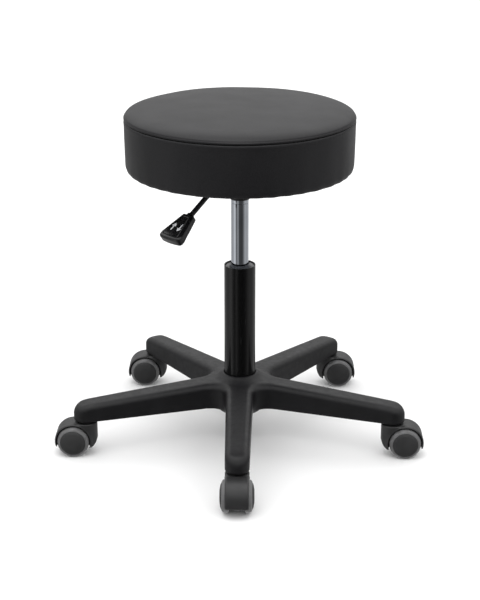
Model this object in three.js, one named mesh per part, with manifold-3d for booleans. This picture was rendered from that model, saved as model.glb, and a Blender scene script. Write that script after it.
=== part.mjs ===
// Adjustable swivel stool: a round padded seat on a gas spring, with a release lever under it,
// and a five-armed base on twin-wheel casters. Millimetres, +Z up, standing on the floor at z = 0.
// Everything is built round the column's axis, and the whole is then moved along Y so that the
// origin lies on the floor at the centre of the footprint.
import * as THREE from 'three';
import { mergeVertices } from 'three/addons/utils/BufferGeometryUtils.js';
import Module from 'manifold-3d';

const wasm = await Module();
wasm.setup();

// ---- Driving dimensions -------------------------------------------------------------------

const GAP = 0.3; // left between pieces that touch

// Seat cushion
const SEAT_R = 177;
const SEAT_BOTTOM_Z = 449;
const SEAM_Z = 529.5; // where the top panel is sewn to the side band
const SEAT_TOP_Z = 548;
const COVER_T = 1.2;
const CROWN_FLAT_R = 60; // the middle of the seat is flat
const BAND_TUCK_R = 150; // the band is folded under the board to here
const BAND_EDGE = { across: 6, up: 14 }; // rounding of the seat's lower edge
const BOARD_T = 12;
const BOARD_R = 166;
const DUST_COVER_T = 0.6;
const DUST_COVER_R = 158;

// Seat plate, its bolts and the bracket under it
const PLATE_SIDE = 150;
const PLATE_T = 2.5;
const PLATE_CORNER_R = 12;
const BOLT_SPACING = 125;
const BOLT_R = 3;
const BOLT_HOLE_R = 3.5;
const BOLT_HEAD = { r: 5.5, h: 4 };
const BOLT_GRIP = 11; // length of thread inside the board
const BRACKET = { across: 52, along: 100, floorZ: 419.5, wall: 2 };

// Column and gas spring
const TUBE_R = 25;
const TUBE_WALL = 2;
const TUBE_TOP_Z = 292;
const TUBE_BOTTOM_Z = 52;
const TUBE_TAPER = 1.2; // the tube narrows by this where it sits in the hub
const CYLINDER_R = 14;
const CYLINDER_WALL = 2.5;
const CYLINDER_BOTTOM_Z = 178;
const CYLINDER_TOP_Z = 422.5;
const CYLINDER_TAPER = 1;
const SOCKET_BOTTOM_Z = 400;
const SOCKET_WALL = 1.8;
const ROD_R = 5;
const PISTON_Z = 186;
const PISTON_LENGTH = 10;
const BUSHING_LENGTH = 92;
const BUTTON = { r: 3, top: 427.5, length: 16.5 };

// Release lever, which leaves the column's axis at 45 degrees
const LEVER_AZIMUTH = THREE.MathUtils.degToRad(225);
const LEVER_Z = 432;
const LEVER_ROD_R = 4;
const LEVER_INNER_END = -8;
const LEVER_BEND = 48;
const LEVER_SLOPE = THREE.MathUtils.degToRad(34.5);
const LEVER_BEND_R = 9;
const HANDLE = { start: 70, length: 50, narrow: 17, wide: 42, thin: 12, thick: 15, socket: 24 };
const BUSH = { r: 6, bore: LEVER_ROD_R + 0.6, flangeR: 8, flangeT: 1.2, proud: 1.5 };
const CLIP = { at: 29.5, r: 7, t: 1 };

// Five-armed base
const ARMS = 5;
const STEM_CIRCLE_R = 256.5;
const ARM_BOTTOM_Z = 58;
const ARM_TOP_Z = 100; // at ARM_TOP_R, falling by ARM_FALL per millimetre outward
const ARM_TOP_R = 56;
const ARM_FALL = 0.0656;
const ARM_END_R = 18;
const ARM_ROOT_HALF_WIDTH = 21.5;
const ARM_TIP_DROP = 14; // how far the top has rounded down at the very tip
const ARM_ROUNDING_R = 246; // where that rounding starts
const ARM_CORNER = 10;
const ARM_WALL = 4.5;
const ARM_RIB = 3;
const ARM_POCKETS = { from: 52, to: 232, count: 3 };
const HUB_R = 46;
const HUB_TOP_Z = 109; // of the collar round the column
const HUB_BOTTOM_Z = 45;
const HUB_COLLAR_R = 30;

// Casters
const WHEEL_R = 25;
const CASTER_TRAIL = 19.4; // from the stem to the axle
const HOOD_HALF_WIDTH = 17.5;
const HOOD_OUTER_R = 29.5;
const HOOD_INNER_R = 26.5;
const HOOD_CROWN = { across: 5.5, drop: 2.5 }; // rounding of the hood's long edges
const HOOD_TOP_Z = 54.5;
const HOOD_LIP_Z = 17;
const HOOD_HEEL = { wallZ: 24, tipX: -7.6, tipZ: 13.5 }; // the slanted foot behind the wheels
const HOOD_WEB_HALF = 9.5;
const WHEEL = { inner: 12, edge: 22.7, cap: 26, hubR: 20, axleR: 3 };
const STEM = { pinR: 4, socketR: 5.5, collarR: 9, top: 80, bottom: 34 };

const SEAT_SIDES = 32;
const WHEEL_SIDES = 16; // multiple of four, so that a flat side meets the floor

const BOARD_Z = SEAT_BOTTOM_Z + COVER_T + GAP;
const DUST_COVER_Z = SEAT_BOTTOM_Z - GAP - DUST_COVER_T;
const PLATE_Z = DUST_COVER_Z - GAP - PLATE_T;

// The footprint runs from the front caster to the rear casters' outer wheel caps
const FRONT_REACH = STEM_CIRCLE_R + CASTER_TRAIL + HOOD_OUTER_R;
const REAR_REACH = STEM_CIRCLE_R * Math.cos(Math.PI / ARMS) + WHEEL.cap;
const COLUMN_Y = (FRONT_REACH - REAR_REACH) / 2;

// ---- Materials ----------------------------------------------------------------------------

const finish = (color, roughness, metalness = 0) => () =>
  new THREE.MeshStandardMaterial({ color, roughness, metalness });
const leatherette = finish(0x1b1b1d, 0.5);
const foamFill = finish(0xd8cfa8, 0.95);
const plywood = finish(0xb08a5a, 0.8);
const feltCloth = finish(0x151515, 0.95);
const blackPaint = finish(0x101012, 0.3);
const zincSteel = finish(0x9a9a98, 0.4, 0.9);
const chrome = finish(0xc9ccd2, 0.12, 1);
const blackSteel = finish(0x17171a, 0.35, 0.6);
const texturedNylon = finish(0x232326, 0.6);
const hoodPlastic = finish(0x1c1c1e, 0.5);
const glossPlastic = finish(0x0e0e10, 0.25);
const greyTread = finish(0x77777a, 0.6);
const whiteNylon = finish(0xdcdcd6, 0.5);
const blackRubber = finish(0x111111, 0.85);

// ---- Geometry helpers ---------------------------------------------------------------------

// Positions only, shared vertices merged, empty triangles dropped, faces pointing outward
function closedBody(geometry) {
  geometry.deleteAttribute('normal');
  geometry.deleteAttribute('uv');
  const merged = mergeVertices(geometry, 1e-4);
  const corner = (i) => new THREE.Vector3().fromBufferAttribute(merged.attributes.position, i);
  const kept = [];
  let volume = 0;
  for (let i = 0; i < merged.index.count; i += 3) {
    const [a, b, c] = [0, 1, 2].map((k) => merged.index.getX(i + k));
    if (a === b || b === c || c === a) {
      continue;
    }
    kept.push([a, b, c]);
    volume += corner(a).dot(corner(b).cross(corner(c)));
  }
  const outward = volume < 0 ? kept.map(([a, b, c]) => [a, c, b]) : kept;
  merged.setIndex(outward.flat());
  return merged;
}

function toSolid(geometry) {
  const vertProperties = new Float32Array(geometry.attributes.position.array);
  const triVerts = new Uint32Array(geometry.index.array);
  return new wasm.Manifold(new wasm.Mesh({ numProp: 3, vertProperties, triVerts }));
}

function fromSolid(solid) {
  const { vertProperties, triVerts } = solid.getMesh();
  const geometry = new THREE.BufferGeometry();
  geometry.setAttribute('position', new THREE.BufferAttribute(vertProperties, 3));
  geometry.setIndex([...triVerts]);
  return geometry;
}

const combine = (method) => (first, ...others) =>
  fromSolid(others.reduce((solid, other) => solid[method](toSolid(other)), toSolid(first)));
const join = combine('add');
const cut = combine('subtract');

const points = (pairs) => pairs.map(([x, y]) => new THREE.Vector2(x, y));

// A profile of [radius, height] turned round Z
function turned(profile, sides) {
  const geometry = new THREE.LatheGeometry(points(profile), sides, Math.PI / sides);
  return closedBody(geometry.rotateX(Math.PI / 2));
}

// The same round Y, for wheels and axles
function turnedAcross(profile, sides) {
  return closedBody(new THREE.LatheGeometry(points(profile), sides, Math.PI / sides));
}

function ring(inner, outer, low, high, sides) {
  return turned([[inner, low], [outer, low], [outer, high], [inner, high], [inner, low]], sides);
}

function cylinder(r, low, high, sides) {
  return turned([[0, low], [r, low], [r, high], [0, high]], sides);
}

// A flat shape in XY given height, from z = low upward
function plate(shape, low, height, curveSegments = 6) {
  const geometry = new THREE.ExtrudeGeometry(shape, { depth: height, bevelEnabled: false, curveSegments });
  return closedBody(geometry.translate(0, 0, low));
}

// A flat shape in XZ given width across Y, centred on y = 0
function across(shape, width, curveSegments = 6) {
  const geometry = new THREE.ExtrudeGeometry(shape, { depth: width, bevelEnabled: false, curveSegments });
  return closedBody(geometry.translate(0, 0, -width / 2).rotateX(Math.PI / 2));
}

// A skin over a row of convex rings that have equal numbers of points
function loft(rings) {
  const count = rings[0].length;
  const index = [];
  for (let k = 0; k + 1 < rings.length; k += 1) {
    for (let i = 0; i < count; i += 1) {
      const [a, b] = [k * count + i, k * count + ((i + 1) % count)];
      index.push(a, b, b + count, a, b + count, a + count);
    }
  }
  const last = (rings.length - 1) * count;
  for (let i = 1; i + 1 < count; i += 1) {
    index.push(0, i + 1, i, last, last + i, last + i + 1);
  }
  const geometry = new THREE.BufferGeometry().setFromPoints(rings.flat());
  geometry.setIndex(index);
  return closedBody(geometry);
}

const roundedSquare = (side, r) => {
  const h = side / 2;
  const shape = new THREE.Shape();
  shape.moveTo(-h + r, -h);
  for (const [cx, cy, start] of [[1, -1, -0.5], [1, 1, 0], [-1, 1, 0.5], [-1, -1, 1]]) {
    shape.absarc(cx * (h - r), cy * (h - r), r, start * Math.PI, (start + 0.5) * Math.PI);
  }
  return shape;
};

// Corners of a regular polygon standing in for a circle
function circle(r, sides, x = 0, y = 0) {
  return Array.from({ length: sides }, (_, i) => {
    const turn = (2 * Math.PI * i) / sides;
    return new THREE.Vector2(x + r * Math.cos(turn), y + r * Math.sin(turn));
  });
}

function named(name, geometry, material) {
  const mesh = new THREE.Mesh(geometry, material());
  mesh.name = name;
  return mesh;
}

// ---- Seat ---------------------------------------------------------------------------------

// The crown: flat in the middle, then rolling over a full shoulder down to the seam
function crownProfile(inset) {
  const [r, height] = [SEAT_R - inset, SEAT_TOP_Z - SEAM_Z - inset];
  const profile = [[0, SEAM_Z + height], [CROWN_FLAT_R, SEAM_Z + height]];
  const steps = 5;
  for (let i = 1; i <= steps; i += 1) {
    const turn = (i / steps) * (Math.PI / 2);
    profile.push([r * Math.sin(turn) ** 0.25, SEAM_Z + height * Math.cos(turn)]);
  }
  return profile;
}

// The side band below the seam, rolling under the seat's lower edge
function bandProfile(inset) {
  const profile = [[SEAT_R - inset, SEAM_Z - GAP]];
  const steps = 3;
  for (let i = 0; i <= steps; i += 1) {
    const turn = (i / steps) * (Math.PI / 2);
    const r = SEAT_R - BAND_EDGE.across + (BAND_EDGE.across - inset) * Math.cos(turn);
    const z = SEAT_BOTTOM_Z + BAND_EDGE.up - (BAND_EDGE.up - inset) * Math.sin(turn);
    profile.push([r, z]);
  }
  profile.push([BAND_TUCK_R, SEAT_BOTTOM_Z + inset]);
  return profile;
}

const boltPlaces = () => [[1, 1], [-1, 1], [-1, -1], [1, -1]].map(([x, y]) =>
  [x * BOLT_SPACING / 2, y * BOLT_SPACING / 2]);

const boltHoles = () => boltPlaces().map(([x, y]) => new THREE.Path(circle(BOLT_HOLE_R, 8, x, y)));

function drilledDisc(r, low, height) {
  const disc = new THREE.Shape(circle(r, SEAT_SIDES));
  disc.holes = boltHoles();
  return plate(disc, low, height);
}

function seat() {
  const group = new THREE.Group();
  const top = turned([...crownProfile(0), ...crownProfile(COVER_T).reverse()], SEAT_SIDES);
  const outerBand = bandProfile(0);
  const band = turned([...outerBand, ...bandProfile(COVER_T).reverse(), outerBand[0]], SEAT_SIDES);
  const foamLow = BOARD_Z + BOARD_T + GAP;
  const foamInset = COVER_T + GAP;
  const foamR = SEAT_R - foamInset;
  const foam = turned([...crownProfile(foamInset), [foamR, foamLow], [0, foamLow]], SEAT_SIDES);
  group.add(
    named('seat_cover_top', top, leatherette),
    named('seat_cover_band', band, leatherette),
    named('seat_foam', foam, foamFill),
    named('seat_board', drilledDisc(BOARD_R, BOARD_Z, BOARD_T), plywood),
    named('seat_dust_cover', drilledDisc(DUST_COVER_R, DUST_COVER_Z, DUST_COVER_T), feltCloth),
  );
  return group;
}

// ---- Seat plate and bracket ---------------------------------------------------------------

function seatPlate() {
  const outline = roundedSquare(PLATE_SIDE, PLATE_CORNER_R);
  outline.holes = boltHoles();
  return named('seat_plate', plate(outline, PLATE_Z, PLATE_T, 3), blackSteel);
}

function plateBolts() {
  const headTop = PLATE_Z - GAP;
  const { r, h } = BOLT_HEAD;
  const tip = BOARD_Z + BOLT_GRIP;
  const head = [[0, headTop - h], [r, headTop - h], [r, headTop]];
  const profile = [...head, [BOLT_R, headTop], [BOLT_R, tip], [0, tip]];
  return boltPlaces().map(([x, y], i) => {
    const bolt = named(`plate_bolt_${i + 1}`, turned(profile, 8), zincSteel);
    bolt.position.set(x, y, 0);
    return bolt;
  });
}

const cylinderRadiusAt = (z) =>
  CYLINDER_R - (CYLINDER_TAPER * (z - SOCKET_BOTTOM_Z)) / (CYLINDER_TOP_Z - SOCKET_BOTTOM_Z);

function taperSocket() {
  const top = CYLINDER_TOP_Z;
  const outer = CYLINDER_R + GAP + SOCKET_WALL;
  const [innerLow, innerHigh] = [SOCKET_BOTTOM_Z, top].map((z) => cylinderRadiusAt(z) + GAP);
  const profile = [[innerLow, SOCKET_BOTTOM_Z], [outer, SOCKET_BOTTOM_Z], [outer, top], [innerHigh, top]];
  return named('taper_socket', turned([...profile, profile[0]], 20), blackSteel);
}

// A folded channel, open at both ends, with holes for the socket and for the lever's bush
function leverBracket() {
  const { across: width, along, floorZ, wall } = BRACKET;
  const [half, top] = [width / 2, PLATE_Z - GAP];
  const section = new THREE.Shape(points([
    [-half, top], [-half, floorZ], [half, floorZ], [half, top],
    [half - wall, top], [half - wall, floorZ + wall], [wall - half, floorZ + wall], [wall - half, top],
  ]));
  const socketHole = cylinder(CYLINDER_R + GAP + SOCKET_WALL + GAP, floorZ - 1, floorZ + wall + 1, 24);
  const bushHole = alongLever(cylinder(BUSH.r + GAP, half - wall - 1, half + 1, 16));
  return named('lever_bracket', cut(across(section, along), socketHole, bushHole), blackSteel);
}

// ---- Release lever, modelled along +X and turned to its azimuth ---------------------------

// Lays a piece turned round Z along the lever's axis, its heights becoming distances outward
function alongLever(geometry) {
  return geometry.rotateY(Math.PI / 2).translate(0, 0, LEVER_Z);
}

function leverBush() {
  const { r, bore, flangeR, flangeT, proud } = BUSH;
  const wallOut = BRACKET.across / 2;
  const inner = wallOut - BRACKET.wall - proud;
  const face = wallOut + GAP;
  const profile = [[bore, inner], [r, inner], [r, face], [flangeR, face],
    [flangeR, face + flangeT], [bore, face + flangeT], [bore, inner]];
  return named('lever_bush', alongLever(turned(profile, 16)), whiteNylon);
}

function leverClip() {
  const clip = alongLever(ring(LEVER_ROD_R + GAP, CLIP.r, CLIP.at, CLIP.at + CLIP.t, 16));
  return named('lever_clip', clip, zincSteel);
}

// Distance along the sloping part, sideways offset and height above it, to the lever's frame
function onSlope(along, side, above) {
  const [c, s] = [Math.cos(LEVER_SLOPE), Math.sin(LEVER_SLOPE)];
  return new THREE.Vector3(LEVER_BEND + along * c + above * s, side, LEVER_Z - along * s + above * c);
}

function leverRod() {
  const bendStart = new THREE.Vector3(LEVER_BEND - LEVER_BEND_R, 0, LEVER_Z);
  const corner = new THREE.Vector3(LEVER_BEND, 0, LEVER_Z);
  const bendEnd = onSlope(LEVER_BEND_R, 0, 0);
  const tip = onSlope(HANDLE.start + HANDLE.socket - 2, 0, 0);
  const path = new THREE.CurvePath();
  path.add(new THREE.LineCurve3(new THREE.Vector3(LEVER_INNER_END, 0, LEVER_Z), bendStart));
  path.add(new THREE.QuadraticBezierCurve3(bendStart, corner, bendEnd));
  path.add(new THREE.LineCurve3(bendEnd, tip));
  const section = new THREE.Shape(circle(LEVER_ROD_R, 8));
  const options = { steps: 26, extrudePath: path, bevelEnabled: false };
  return named('lever_rod', closedBody(new THREE.ExtrudeGeometry(section, options)), blackSteel);
}

// Corners of an octagon with bevelled corners, as [sideways, above] pairs in order round it
function bevelledRectangle(halfWidth, halfThick, bevel) {
  const corner = [[halfWidth, halfThick - bevel], [halfWidth - bevel, halfThick]];
  const mirrors = [[1, 1], [-1, 1], [-1, -1], [1, -1]];
  return mirrors.flatMap(([a, b], i) => {
    const mirrored = corner.map(([side, above]) => [a * side, b * above]);
    return i % 2 ? mirrored.reverse() : mirrored;
  });
}

// A paddle that flares and thickens outward and ends in a rounded edge
function leverHandle() {
  const { start, length, narrow, wide, thin, thick, socket } = HANDLE;
  const bevel = 2.5;
  const shoulder = 0.82; // where the paddle is widest
  const ring = (t, inset) => {
    const grown = Math.min(t / shoulder, 1);
    const halfWidth = THREE.MathUtils.lerp(narrow, wide, grown) / 2 - 3 * inset;
    const halfThick = THREE.MathUtils.lerp(thin, thick, grown) / 2 - inset;
    const outline = bevelledRectangle(halfWidth, halfThick, bevel);
    return outline.map(([side, above]) => onSlope(start + t * length, side, above));
  };
  const body = loft([ring(0, 0), ring(shoulder, 0), ring(0.93, 0.8), ring(1, 2.6)]);
  const rodHole = cylinder(LEVER_ROD_R + GAP, start - 1, start + socket, 12);
  const tilt = new THREE.Matrix4().makeRotationY(Math.PI / 2 + LEVER_SLOPE);
  rodHole.applyMatrix4(tilt).translate(LEVER_BEND, 0, LEVER_Z);
  return named('lever_handle', cut(body, rodHole), glossPlastic);
}

function lever() {
  const group = new THREE.Group();
  group.rotation.z = LEVER_AZIMUTH;
  group.add(leverBracket(), leverBush(), leverRod(), leverHandle(), leverClip());
  return group;
}

// ---- Gas spring and column ----------------------------------------------------------------

const TUBE_BORE_R = TUBE_R - TUBE_WALL;
const CYLINDER_BORE_R = CYLINDER_R - CYLINDER_WALL;
const ROD_HOLE_R = ROD_R + GAP;

// The pressure tube: closed at the top except for the valve's bore, open round the rod below
function gasCylinder() {
  const valveBore = BUTTON.r + GAP;
  const valveFloor = BUTTON.top - BUTTON.length - 5;
  const top = CYLINDER_TOP_Z;
  const endWall = 4;
  const roof = valveFloor - 6;
  const profile = [
    [0, valveFloor], [valveBore, valveFloor], [valveBore, top], [cylinderRadiusAt(top), top],
    [CYLINDER_R, SOCKET_BOTTOM_Z], [CYLINDER_R, CYLINDER_BOTTOM_Z], [ROD_HOLE_R, CYLINDER_BOTTOM_Z],
    [ROD_HOLE_R, CYLINDER_BOTTOM_Z + endWall], [CYLINDER_BORE_R, CYLINDER_BOTTOM_Z + endWall],
    [CYLINDER_BORE_R, roof], [0, roof],
  ];
  return named('gas_cylinder', turned(profile, 20), chrome);
}

function releaseButton() {
  const { r, top, length } = BUTTON;
  const profile = [[0, top - length], [r, top - length], [r, top - 1], [r / 2, top], [0, top]];
  return named('release_button', turned(profile, 12), zincSteel);
}

const FLOOR_T = 3; // thickness of the column tube's bottom
const BEARING_T = 5;
const BEARING_Z = TUBE_BOTTOM_Z + FLOOR_T + GAP;

function pistonRod() {
  const [end, groove, step] = [TUBE_BOTTOM_Z - 4, TUBE_BOTTOM_Z - 2, 1];
  const pistonR = CYLINDER_BORE_R - GAP;
  const profile = [
    [0, end], [ROD_R, end], [ROD_R, groove - 1], [ROD_R - step, groove - 1], [ROD_R - step, groove + 1],
    [ROD_R, groove + 1], [ROD_R, PISTON_Z], [pistonR, PISTON_Z],
    [pistonR, PISTON_Z + PISTON_LENGTH], [0, PISTON_Z + PISTON_LENGTH],
  ];
  return named('piston_rod', turned(profile, 12), chrome);
}

// A flat spring clip with a mouth, pushed on to the groove at the rod's lower end
function rodClip() {
  const outline = new THREE.Shape();
  const mouth = 0.35;
  outline.absarc(0, 0, 9, mouth, 2 * Math.PI - mouth);
  outline.absarc(0, 0, ROD_R - 1 + GAP, 2 * Math.PI - mouth, mouth, true);
  return named('rod_clip', plate(outline, TUBE_BOTTOM_Z - 2.6, 1.2, 8), zincSteel);
}

function thrustBearing() {
  return named('thrust_bearing', ring(ROD_HOLE_R, 12, BEARING_Z, BEARING_Z + BEARING_T, 16), zincSteel);
}

function bumpRubber() {
  const low = BEARING_Z + BEARING_T + GAP;
  return named('bump_rubber', ring(ROD_HOLE_R, 11, low, low + 12, 16), blackRubber);
}

const tubeOuterAt = (z) => TUBE_R - (TUBE_TAPER * (HUB_TOP_Z - z)) / (HUB_TOP_Z - TUBE_BOTTOM_Z);

function columnTube() {
  const rimRound = 1.5;
  const floor = TUBE_BOTTOM_Z + FLOOR_T;
  const profile = [
    [ROD_HOLE_R, TUBE_BOTTOM_Z], [tubeOuterAt(TUBE_BOTTOM_Z), TUBE_BOTTOM_Z], [TUBE_R, HUB_TOP_Z],
    [TUBE_R, TUBE_TOP_Z - rimRound], [TUBE_R - rimRound / 2, TUBE_TOP_Z], [TUBE_BORE_R + 0.5, TUBE_TOP_Z],
    [TUBE_BORE_R, TUBE_TOP_Z - rimRound], [TUBE_BORE_R - 0.5, floor], [ROD_HOLE_R, floor],
    [ROD_HOLE_R, TUBE_BOTTOM_Z],
  ];
  return named('column_tube', turned(profile, 24), blackPaint);
}

// The plastic guide that the gas cylinder slides in, with a funnel-shaped mouth
function columnBushing() {
  const outer = TUBE_BORE_R - 0.5 - GAP;
  const bore = CYLINDER_R + GAP;
  const mouthTop = TUBE_TOP_Z - 2;
  const low = TUBE_TOP_Z - BUSHING_LENGTH;
  const funnel = [[outer, mouthTop], [outer - 1.5, mouthTop], [bore, mouthTop - 5]];
  const profile = [[bore, low], [outer, low], ...funnel, [bore, low]];
  return named('column_bushing', turned(profile, 24), glossPlastic);
}

// ---- Five-armed base ----------------------------------------------------------------------

const armTopAt = (r) => ARM_TOP_Z - ARM_FALL * (r - ARM_TOP_R);
const armHalfWidthAt = (r) =>
  THREE.MathUtils.lerp(ARM_ROOT_HALF_WIDTH, ARM_END_R, (r - ARM_TOP_R) / (STEM_CIRCLE_R - ARM_TOP_R));

// Cross-section of an arm at distance r, flat below and rounded along its upper edges
function armSection(r, halfWidth, top) {
  const c = Math.min(ARM_CORNER, 0.8 * halfWidth);
  const side = [[halfWidth, ARM_BOTTOM_Z], [halfWidth, top - c], [halfWidth - 0.3 * c, top - 0.3 * c],
    [halfWidth - c, top]];
  const mirrored = side.map(([y, z]) => [-y, z]).reverse();
  return [...side, ...mirrored].map(([y, z]) => new THREE.Vector3(r, y, z));
}

function arm() {
  const rings = [
    armSection(20, ARM_ROOT_HALF_WIDTH, ARM_TOP_Z + 3),
    armSection(ARM_TOP_R, ARM_ROOT_HALF_WIDTH, ARM_TOP_Z),
    armSection(150, armHalfWidthAt(150), armTopAt(150)),
  ];
  const tip = STEM_CIRCLE_R + ARM_END_R;
  const endRing = (r, halfWidth) => {
    const drop = ARM_TIP_DROP * ((r - ARM_ROUNDING_R) / (tip - ARM_ROUNDING_R)) ** 3;
    return armSection(r, halfWidth, armTopAt(r) - drop);
  };
  rings.push(endRing(ARM_ROUNDING_R, armHalfWidthAt(ARM_ROUNDING_R)));
  for (const degrees of [0, 30, 52, 70, 85]) {
    const turn = THREE.MathUtils.degToRad(degrees);
    rings.push(endRing(STEM_CIRCLE_R + ARM_END_R * Math.sin(turn), ARM_END_R * Math.cos(turn)));
  }
  return loft(rings);
}

// The hollows between the ribs on an arm's underside
function armPockets() {
  const { from, to, count } = ARM_POCKETS;
  const pitch = (to + ARM_RIB - from) / count;
  const floorBelow = ARM_BOTTOM_Z - 1;
  const section = (r) => {
    const [half, top] = [armHalfWidthAt(r) - ARM_WALL, armTopAt(r) - ARM_WALL];
    const corners = [[half, floorBelow], [half, top], [-half, top], [-half, floorBelow]];
    return corners.map(([y, z]) => new THREE.Vector3(r, y, z));
  };
  return Array.from({ length: count }, (_, i) =>
    loft([section(from + i * pitch), section(from + (i + 1) * pitch - ARM_RIB)]));
}

function hub() {
  const profile = [
    [0, HUB_BOTTOM_Z], [HUB_R - 10, HUB_BOTTOM_Z], [HUB_R - 3, 51], [HUB_R, ARM_BOTTOM_Z],
    [HUB_R, ARM_TOP_Z - 10], [HUB_R - 3, ARM_TOP_Z - 2], [HUB_COLLAR_R + 3, HUB_TOP_Z - 3],
    [HUB_COLLAR_R, HUB_TOP_Z], [0, HUB_TOP_Z],
  ];
  return turned(profile, 30);
}

function starBase() {
  const armAngles = Array.from({ length: ARMS }, (_, i) => -Math.PI / 2 + (i * 2 * Math.PI) / ARMS);
  const arms = armAngles.map((angle) => arm().rotateZ(angle));
  const pockets = armAngles.flatMap((angle) => armPockets().map((pocket) => pocket.rotateZ(angle)));
  const stemHoles = armAngles.map((angle) =>
    cylinder(STEM.socketR + GAP, ARM_BOTTOM_Z - 1, STEM.top + GAP, 10)
      .translate(STEM_CIRCLE_R, 0, 0).rotateZ(angle));
  const [low, high] = [HUB_BOTTOM_Z - 1, HUB_TOP_Z + 6];
  const [boreLow, boreHigh] = [low, high].map((z) => tubeOuterAt(z) + GAP);
  const bore = turned([[0, low], [boreLow, low], [boreHigh, high], [0, high]], 24);
  return named('star_base', cut(join(hub(), ...arms), bore, ...pockets, ...stemHoles), texturedNylon);
}

// ---- Casters, each modelled with its stem on Z and its wheels trailing along +X ------------

// Everything under the hood: below its lip, and below the slant of its heel
function hoodUnderside() {
  const { wallZ, tipX, tipZ } = HOOD_HEEL;
  const [reach, deep] = [80, -20];
  const slope = (wallZ - tipZ) / (-HOOD_HALF_WIDTH - tipX);
  const outline = new THREE.Shape(points([
    [-reach, tipZ + slope * (-reach - tipX)], [-reach, deep], [reach, deep], [reach, HOOD_LIP_Z],
    [tipX + 5, HOOD_LIP_Z], [tipX, tipZ],
  ]));
  return across(outline, 3 * HOOD_HALF_WIDTH);
}

// A crowned arch over the wheels and a round boss over the stem, with a web between the wheels
function hood() {
  const { across: crown, drop } = HOOD_CROWN;
  const half = HOOD_HALF_WIDTH;
  const archProfile = [[0, -half], [HOOD_OUTER_R - drop, -half], [HOOD_OUTER_R, crown - half]];
  const mirrored = archProfile.map(([r, y]) => [r, -y]).reverse();
  const arch = turnedAcross([...archProfile, ...mirrored], 30).translate(CASTER_TRAIL, 0, WHEEL_R);
  const boss = cylinder(half, HOOD_HEEL.tipZ - 1, HOOD_TOP_Z, 24);
  const well = [[0, HOOD_WEB_HALF], [HOOD_INNER_R, HOOD_WEB_HALF], [HOOD_INNER_R, 2 * half], [0, 2 * half]];
  const wheelWells = [-1, 1].map((side) => {
    return turnedAcross(well.map(([r, y]) => [r, side * y]), 30).translate(CASTER_TRAIL, 0, WHEEL_R);
  });
  const axleHole = turnedAcross([[0, -20], [WHEEL.axleR + GAP, -20], [WHEEL.axleR + GAP, 20], [0, 20]], 12);
  axleHole.translate(CASTER_TRAIL, 0, WHEEL_R);
  const stemHole = cylinder(STEM.pinR + GAP, STEM.bottom - 1, HOOD_TOP_Z + 1, 12);
  return cut(join(arch, boss), hoodUnderside(), ...wheelWells, axleHole, stemHole);
}

function stem() {
  const { pinR, socketR, collarR, top, bottom } = STEM;
  const [collarLow, collarHigh] = [HOOD_TOP_Z + GAP, ARM_BOTTOM_Z - GAP];
  const profile = [
    [0, bottom], [pinR, bottom], [pinR, collarLow], [collarR, collarLow], [collarR, collarHigh],
    [socketR, collarHigh], [socketR, top - 2], [socketR - 1.5, top], [0, top],
  ];
  return turned(profile, 10);
}

// Radius of the polygon's corners whose flat sides lie at distance r
const cornerRadius = (r) => r / Math.cos(Math.PI / WHEEL_SIDES);

function wheelHub(side) {
  const { inner, edge, cap, hubR, axleR } = WHEEL;
  const bore = axleR + 0.5;
  const boreEnd = cap - 1.7;
  const dome = [[hubR, edge], [hubR - 3, edge + 2], [0, cap]];
  const profile = [[0, boreEnd], [bore, boreEnd], [bore, inner], [hubR, inner], ...dome];
  return turnedAcross(profile.map(([r, y]) => [cornerRadius(r), side * y]), WHEEL_SIDES);
}

function wheelTread(side) {
  const [low, high] = [WHEEL.inner + GAP, WHEEL.edge + GAP];
  const fit = WHEEL.hubR + GAP;
  const edge = 1.2;
  const profile = [[fit, low], [WHEEL_R, low], [WHEEL_R, high - edge], [WHEEL_R - edge, high], [fit, high],
    [fit, low]];
  return turnedAcross(profile.map(([r, y]) => [cornerRadius(r), side * y]), WHEEL_SIDES);
}

function caster(number, armAngle, trailAngle) {
  const group = new THREE.Group();
  group.position.set(STEM_CIRCLE_R * Math.cos(armAngle), STEM_CIRCLE_R * Math.sin(armAngle), 0);
  group.rotation.z = trailAngle;
  const axleLength = 2 * (WHEEL.cap - 2.2);
  const axle = closedBody(new THREE.CylinderGeometry(WHEEL.axleR, WHEEL.axleR, axleLength, 12));
  const wheels = new THREE.Group();
  wheels.position.set(CASTER_TRAIL, 0, WHEEL_R);
  wheels.add(named(`caster_${number}_axle`, axle, zincSteel));
  for (const [label, side] of [['left', 1], ['right', -1]]) {
    wheels.add(named(`caster_${number}_wheel_${label}`, wheelHub(side), hoodPlastic));
    wheels.add(named(`caster_${number}_tread_${label}`, wheelTread(side), greyTread));
  }
  group.add(
    named(`caster_${number}_stem`, stem(), zincSteel),
    named(`caster_${number}_hood`, hood(), hoodPlastic),
    wheels,
  );
  return group;
}

// The front caster trails forward, and the others trail away from the stool's middle plane
function casters() {
  return Array.from({ length: ARMS }, (_, i) => {
    const armAngle = -Math.PI / 2 + (i * 2 * Math.PI) / ARMS;
    const sideways = Math.cos(armAngle) > 0 ? 0 : Math.PI;
    return caster(i + 1, armAngle, i === 0 ? armAngle : sideways);
  });
}

// ---- Assembly -----------------------------------------------------------------------------

const stool = new THREE.Group();
stool.position.y = COLUMN_Y;
stool.add(seat(), seatPlate(), ...plateBolts(), taperSocket(), lever());
stool.add(gasCylinder(), releaseButton(), pistonRod(), rodClip(), thrustBearing(), bumpRubber());
stool.add(columnTube(), columnBushing(), starBase(), ...casters());

export default stool;
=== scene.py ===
"""Looks of the adjustable swivel stool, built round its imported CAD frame.

Shapes are worked out in millimetres from the column's axis at floor level, and pieces are made in metres.
"""

import math

import bmesh
import bpy
import numpy as np
from mathutils import Matrix, Vector
from mathutils.bvhtree import BVHTree


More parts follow.
